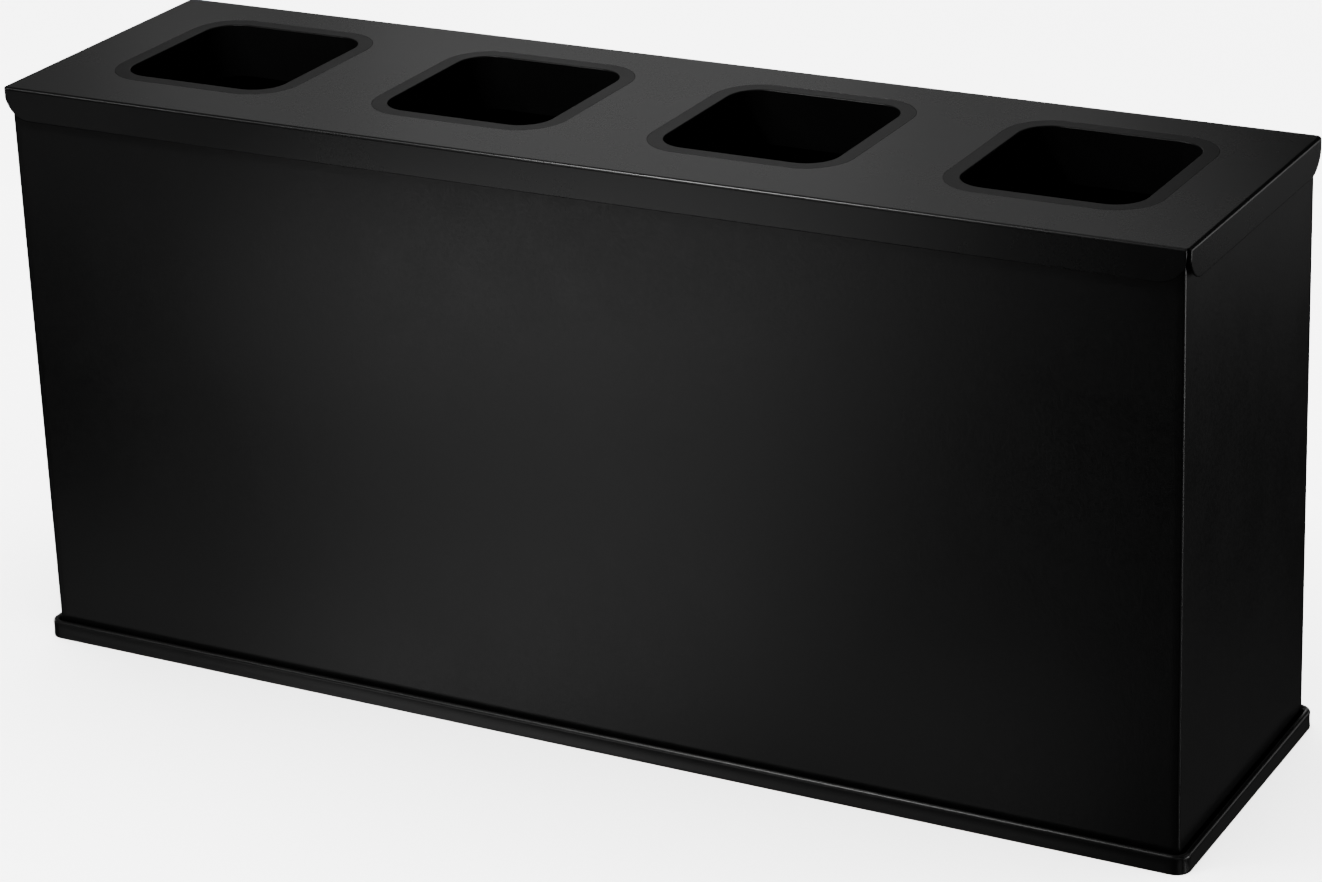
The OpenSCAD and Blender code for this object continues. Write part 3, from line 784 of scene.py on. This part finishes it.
def liner_section(top, bottom):
    """Middle line of a liner's wall, as (growth, height) from the edge of its floor to its turned-down lip.

    The floor turns up into the wall, which leans out a little, then turns over the rim and down again.
    """
    half = LINER_WALL / 2
    bend = LINER_FOOT - half
    foot = arc((-LINER_DRAFT - LINER_FOOT, bottom + LINER_FOOT), bend, -90, 0, FOLD_STEPS)
    over, down = LINER_BEND, LIP_BEND
    level = top - half
    turn_over = arc((-half + over, level - over), over, 180, 90, RIM_STEPS)
    turn_down = arc((LINER_LIP - half - down, level - down), down, 90, 0, RIM_STEPS)
    slot_middle = top - SLOT_DROP
    heights = np.concatenate([
        [foot[-1, 1] + HOLD],
        np.linspace(foot[-1, 1], slot_middle - SLOT_BAND, WALL_ROWS + 1)[1:],
        np.linspace(slot_middle - SLOT_BAND, slot_middle + SLOT_BAND, SLOT_ROWS + 1)[1:],
        [(slot_middle + SLOT_BAND + turn_over[0, 1]) / 2, turn_over[0, 1] - HOLD],
    ])
    lean = (heights - foot[-1, 1]) / (turn_over[0, 1] - foot[-1, 1])
    wall = np.stack([foot[-1, 0] * (1 - lean) + turn_over[0, 0] * lean, heights], -1)
    lip_end = top - LIP_DEPTH
    edge = [(LINER_LIP - half, lip_end + stop) for stop in edge_stops(LIP_EDGE)[::-1]]
    return np.concatenate([foot, wall, turn_over, turn_down, edge])


def floor_grid(loop, middle, steps):
    """Square grid of points that fills a loop of 8 * steps points.

    A place on the grid belongs to the square ring that passes through it: the ring's share of the
    half width scales the loop about its middle, and the place along the ring picks the loop's point.
    """
    across = np.arange(-steps, steps + 1)
    x, y = np.meshgrid(across, across)
    ring = np.maximum(np.maximum(abs(x), abs(y)), WELD)
    along = np.select([(y == -ring) & (x < ring), (x == ring) & (y < ring), (y == ring) & (x > -ring)],
                      [x + ring, y + 3 * ring, 5 * ring - x], 7 * ring - y)
    place = along / (8 * ring) * len(loop)
    closed = np.concatenate([loop, loop[:1]])
    picked = np.stack([np.interp(place, np.arange(len(closed)), closed[:, k]) for k in range(3)], -1)
    return middle + (picked - middle) * (ring / steps)[..., None]


def slot_patch(wall, middle, halves):
    """A wall's panel with a finger slot: rings that run from the slot's round-ended outline to its border.

    The outline is laid out in the panel's own plane, from the panel's upper and lower middle points.
    """
    border = np.concatenate([wall[0], wall[:, -1], wall[-1, ::-1], wall[::-1, 0]])
    up = wall[-1, 0] - wall[0, 0]
    along = np.sign(wall[0, -1, 1] - wall[0, 0, 1])
    rounding = edge_stops(SLOT_EDGE)
    rings = []
    for growth in rounding:
        flat = cut_out(np.array(SLOT) / 2 + growth, SLOT[1] / 2 + growth, wall.shape[1], wall.shape[0])
        rings.append(middle + np.stack([flat[:, 1] * up[0] / up[2], along * flat[:, 0], flat[:, 1]], -1))
    share = np.linspace(0, 1, SLOT_RINGS + 1)[1:, None, None]
    rings = np.concatenate([np.stack(rings), rings[-1] * (1 - share) + border * share])
    thickness = np.full((len(rings), 1), halves)
    thickness[:len(rounding), 0] = edge_half(rounding, halves, SLOT_EDGE)
    return rings, thickness


def make_liner(name):
    """One liner: its section carried round a rounded rectangle, a floor, and a finger slot at each end."""
    low, high = corners(name)
    centre, half = (low + high)[:2] / 2, (high - low)[:2] / 2 - LINER_LIP
    section = liner_section(high[2], low[2])
    ahead = np.gradient(section, axis=0)
    ahead /= np.linalg.norm(ahead, axis=1, keepdims=True)
    facing = outline(np.ones(2), 1.0, LINER_STEPS)
    loops = np.stack([outline(half + growth, LINER_CORNER + growth, LINER_STEPS) for growth, _ in section])
    points = np.empty(loops.shape[:2] + (3,))
    points[..., :2] = loops + centre
    points[..., 2] = section[:, 1, None]
    normals = np.empty_like(points)
    normals[..., :2] = ahead[:, 1, None, None] * facing
    normals[..., 2] = -ahead[:, 0, None]
    to_edge = np.full(len(section), LIP_EDGE)
    to_edge[-EDGE_STEPS - 2:] = section[-EDGE_STEPS - 2:, 1] - section[-1, 1]
    halves = np.broadcast_to(edge_half(to_edge, LINER_WALL / 2, LIP_EDGE)[:, None], points.shape[:2])
    points, normals, halves = (np.concatenate([a, a[:, :1]], axis=1) for a in (points, normals, halves))
    on_lip = section[:, 0] > 0
    first = int(np.argmin(abs(section[:, 1] - high[2] + SLOT_DROP + SLOT_BAND) + high[2] * on_lip))
    last = first + SLOT_ROWS
    side = len(facing) // 4
    start = ARC_STEPS + 1 + (LINER_STEPS - SLOT_COLUMNS) // 2
    far = start + 2 * side
    stops = [0, start, start + SLOT_COLUMNS, far, far + SLOT_COLUMNS, points.shape[1] - 1]
    patches = [(points[:first + 1], normals[:first + 1], halves[:first + 1]),
               (points[last:], normals[last:], halves[last:])]
    for k in range(len(stops) - 1):
        part = slice(first, last + 1), slice(stops[k], stops[k + 1] + 1)
        wall, facing_wall, thick = points[part], normals[part], halves[part]
        if k in SLOTTED:
            panel, thickness = slot_patch(wall, (wall[0, 0] + wall[-1, -1]) / 2, thick[0, 0])
            patches.append((panel, facing_wall[0, 0], thickness))
        else:
            patches.append((wall, facing_wall, thick))
    floor = floor_grid(points[0, :-1], np.array([*centre, points[0, 0, 2]]), len(facing) // 8)
    patches.append((floor, (0, 0, -1), LINER_WALL / 2))
    return thicken(*weld(patches))


# ---- stage ----

CAMERA_PLACE = (1.720, -3.100, 1.708)
CAMERA_TURN = (29.69, 20.66, -2.46)    # azimuth, elevation and roll in degrees
CAMERA_LENS = 110.6                    # focal length, in millimetres
CAMERA_SENSOR = 36.0                   # width of the sensor, in millimetres
CAMERA_SHIFT = (0.0461, -0.0916)       # how far the frame is shifted, as a share of its width


def turned_camera(azimuth, elevation, roll):
    """Rotation of a camera that looks at the station from an azimuth and an elevation."""
    azimuth, elevation, roll = np.radians([azimuth, elevation, roll])
    level = np.array([np.sin(azimuth), -np.cos(azimuth)]) * np.cos(elevation)
    back = np.array([*level, np.sin(elevation)])
    across = np.cross([0, 0, 1], back)
    across /= np.linalg.norm(across)
    up = np.cross(back, across)
    rolled = np.cos(roll) * across + np.sin(roll) * up
    return Matrix(np.stack([rolled, np.cross(back, rolled), back], -1).tolist())


def add_camera():
    """The camera, with its frame shifted to hold the station."""
    data = bpy.data.cameras.new("camera")
    data.sensor_width = CAMERA_SENSOR
    data.lens = CAMERA_LENS
    data.shift_x, data.shift_y = CAMERA_SHIFT
    camera = placed("camera", data)
    camera.matrix_world = Matrix.Translation(CAMERA_PLACE) @ turned_camera(*CAMERA_TURN).to_4x4()
    bpy.context.scene.camera = camera


def add_softbox(name, place, target, size, power):
    """A rectangular white light that faces a target and isn't seen itself."""
    data = bpy.data.lights.new(name, "AREA")
    data.shape = "RECTANGLE"
    data.size, data.size_y = size
    data.energy = power
    lamp = placed(name, data)
    lamp.location = place
    lamp.rotation_euler = (Vector(target) - Vector(place)).to_track_quat("-Z", "Y").to_euler()
    lamp.visible_camera = False


FLOOR_REACH = 60.0
FLOOR_TONES = (0.80, 0.82)
FLOOR_PATCH = 700.0       # size of the patches between those tones, in millimetres
FLOOR_DETAIL = 3.0
FLOOR_ROUGHNESS = 0.9
FLOOR_SHINE = 0.1
FLOOR_SUN = 26.0          # light that falls on the floor alone
FLOOR_SUN_SPREAD = 100    # how wide that light is, in degrees
BACKDROP = 6.0            # brightness beyond the floor's edge
ROOM_FILL = 0.010         # even light from all round

LID_MIDDLE = (0, 0, 0.57)

# Softboxes: name; place, target and size in metres; power in watts
SOFTBOXES = [
    ("back", (-1.5, 2.6, 1.6), LID_MIDDLE, (2.2, 1.0), 0.75),
    ("back_high", (-1.0, 2.2, 2.4), LID_MIDDLE, (1.8, 1.2), 3.0),
    ("back_middle", (-1.3, 2.3, 1.4), LID_MIDDLE, (0.8, 0.5), 0.52),
    ("back_strip", (-1.3, 2.3, 1.4), LID_MIDDLE, (1.6, 0.35), 0.46),
    ("back_left", (-2.1, 1.95, 1.36), (-0.4, 0, 0.57), (0.6, 0.5), 0.05),
    ("front_near", (-0.6, -1.1, -0.1), (-0.05, -0.15, 0.3), (0.5, 0.5), 0.37),
    ("front_right", (-0.35, -1.25, -0.15), (0.2, -0.16, 0.1), (0.4, 0.3), 0.1),
    ("front_strip", (-0.68, -1.4, 0.0), (0.1, -0.16, 0.4), (0.85, 0.2), 0.64),
    ("front_low", (-0.56, -1.0, -0.42), (-0.05, -0.16, 0.06), (0.65, 0.2), 0.36),
    ("left_low", (-1.15, -0.95, -0.42), (-0.5, -0.16, 0.06), (0.25, 0.2), 0.08),
    ("left_high", (-1.25, -1.07, 0.19), (-0.55, -0.16, 0.53), (0.3, 0.2), 0.06),
    ("right_low", (0, -1.05, -0.44), (0.4, -0.16, 0.06), (0.3, 0.2), 0.1),
    ("fold", (-0.56, -0.88, 1.82), (0.1, -0.16, 0.56), (0.3, 0.3), 13),
    ("fold_left", (-1.3, -0.9, 1.5), (-0.4, -0.16, 0.56), (0.3, 0.3), 1.5),
    ("fold_low", (-0.85, -2.0, 1.3), (0.1, -0.16, 0.5), (0.5, 0.4), 2.0),
    ("end_low", (1.3, 1.7, -0.95), (0.6, 0, 0.1), (0.6, 0.5), 0.04),
    ("end_middle", (1.35, 1.6, 0.05), (0.6, 0, 0.5), (0.5, 0.4), 0.08),
    ("end", (1.7, 1.7, 0.35), (0.6, 0, 0.3), (0.8, 0.6), 1.5),
    ("end_fill", (2.6, 0.6, 0.0), (0.6, 0, 0.25), (0.8, 0.6), 11),
    ("corner_low", (2.0, -0.1, -0.35), (0.6, -0.16, 0.2), (0.1, 1.0), 0.9),
    ("corner", (1.9, -0.1, 0.0), (0.6, -0.16, 0.5), (0.1, 0.3), 0.6),
    ("rear", (0, 1.6, 0.2), (0, 0.15, 0.25), (1.1, 0.6), 2.2),
    ("rear_near", (0.36, 0.75, 0.1), (-0.1, 0.15, 0.3), (0.35, 0.4), 0.45),
    ("rear_left", (-0.36, 0.75, 0.1), (0.1, 0.15, 0.3), (0.35, 0.4), 0.45),
    ("left", (-1.6, 0.8, -0.1), (-0.6, 0, 0.3), (0.6, 0.6), 1.1),
    ("left_fill", (-2.6, 0.6, 0.0), (-0.6, 0, 0.25), (0.8, 0.6), 22),
    ("low_right", (2.0, -2.1, 1.3), LID_MIDDLE, (1.0, 0.6), 2.2),
    ("high_right", (2.0, 1.15, 1.9), LID_MIDDLE, (1.0, 0.6), 1.5),
    ("under_right", (2.2, -1.6, -1.1), (0, -0.16, 0.3), (1.0, 0.8), 0.8),
    ("top", (0, 0.5, 3.2), LID_MIDDLE, (1.6, 0.8), 3.0),
]


def add_floor():
    """A plain pale floor with a light of its own, so that the station's dark faces keep theirs."""
    mesh = bpy.data.meshes.new("floor")
    side = np.array([-FLOOR_REACH, FLOOR_REACH])
    points = np.stack(np.broadcast_arrays(side, side[:, None], 0.0), -1).reshape(-1, 3)
    mesh.from_pydata(points.tolist(), [], [(0, 1, 3, 2)])
    floor = placed("floor", mesh)
    material = bpy.data.materials.new("floor_paint")
    material.use_nodes = True
    tree = material.node_tree
    place = add_node(tree, "ShaderNodeTexCoord").outputs["Object"]
    tone = spread(tree, noise(tree, place, FLOOR_PATCH, FLOOR_DETAIL), *MIDDLE)
    dark, light = ((level, level, level, 1) for level in FLOOR_TONES)
    shader = tree.nodes["Principled BSDF"]
    tree.links.new(mixed(tree, tone, dark, light), shader.inputs["Base Color"])
    shader.inputs["Roughness"].default_value = FLOOR_ROUGHNESS
    shader.inputs["Specular IOR Level"].default_value = FLOOR_SHINE
    mesh.materials.append(material)
    floor.visible_glossy = False
    floor.visible_diffuse = False
    floor.visible_shadow = False
    lit = bpy.data.collections.new("lit_by_floor_sun")
    lit.objects.link(floor)
    data = bpy.data.lights.new("floor_sun", "SUN")
    data.energy = FLOOR_SUN
    data.angle = np.radians(FLOOR_SUN_SPREAD)
    sun = placed("floor_sun", data)
    sun.light_linking.receiver_collection = lit


def add_room():
    """A dim even fill, with a pale backdrop that only the camera sees."""
    world = bpy.data.worlds.new("studio")
    world.use_nodes = True
    tree = world.node_tree
    fill = tree.nodes["Background"]
    fill.inputs["Color"].default_value = (1, 1, 1, 1)
    fill.inputs["Strength"].default_value = ROOM_FILL
    seen = add_node(tree, "ShaderNodeBackground", Color=(1, 1, 1, 1), Strength=BACKDROP)
    looking = add_node(tree, "ShaderNodeLightPath").outputs["Is Camera Ray"]
    both = add_node(tree, "ShaderNodeMixShader", i0=looking, i1=fill.outputs[0], i2=seen.outputs[0])
    tree.links.new(both.outputs[0], tree.nodes["World Output"].inputs["Surface"])
    bpy.context.scene.world = world


add_camera()
add_floor()
add_room()
for name, *setting in SOFTBOXES:
    add_softbox(name + "_softbox", *setting)

# ---- the station ----

add_piece("lid_sheet", make_lid(), "lid_assembly", LID_COAT, ["lid"])
for ring in RINGS:
    add_piece(ring + "_moulding", make_ring(ring), "lid_assembly", RING_PLASTIC, [ring])
add_piece("shell_folded", make_shell(), "shell_assembly", SHELL_COAT, ["shell_wrap"])
add_piece("rear_sheet", make_rear_panel(), "shell_assembly", SHELL_COAT, ["rear_panel"])
add_piece("foot_trim", make_trim(), "shell_assembly", TRIM_RUBBER, ["base_trim"])
add_piece("back_rivets", make_rivets(), "shell_assembly", SHELL_COAT, ["rear_rivets"])
for number, liner in enumerate(LINER_NODES, 1):
    add_piece(liner + "_moulding", make_liner(liner), f"bin_{number}", LINER_PLASTIC,
              [liner])

CARRIED_OVER = [
    (INNER_COAT, ("front_rail", "rear_rail", "left_rail", "right_rail")),
    (INNER_COAT, ("floor_pan", "divider", "lid_stiffener")),
    (BUFFER_RUBBER, ("lid_buffers",)),
    (ZINC_STEEL, ("base_screws", "ring_studs", "ring_nuts")),
]
for material, prefixes in CARRIED_OVER:
    for name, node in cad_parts.items():
        if name.startswith(prefixes):
            node.data.materials.clear()
            node.data.materials.append(material)
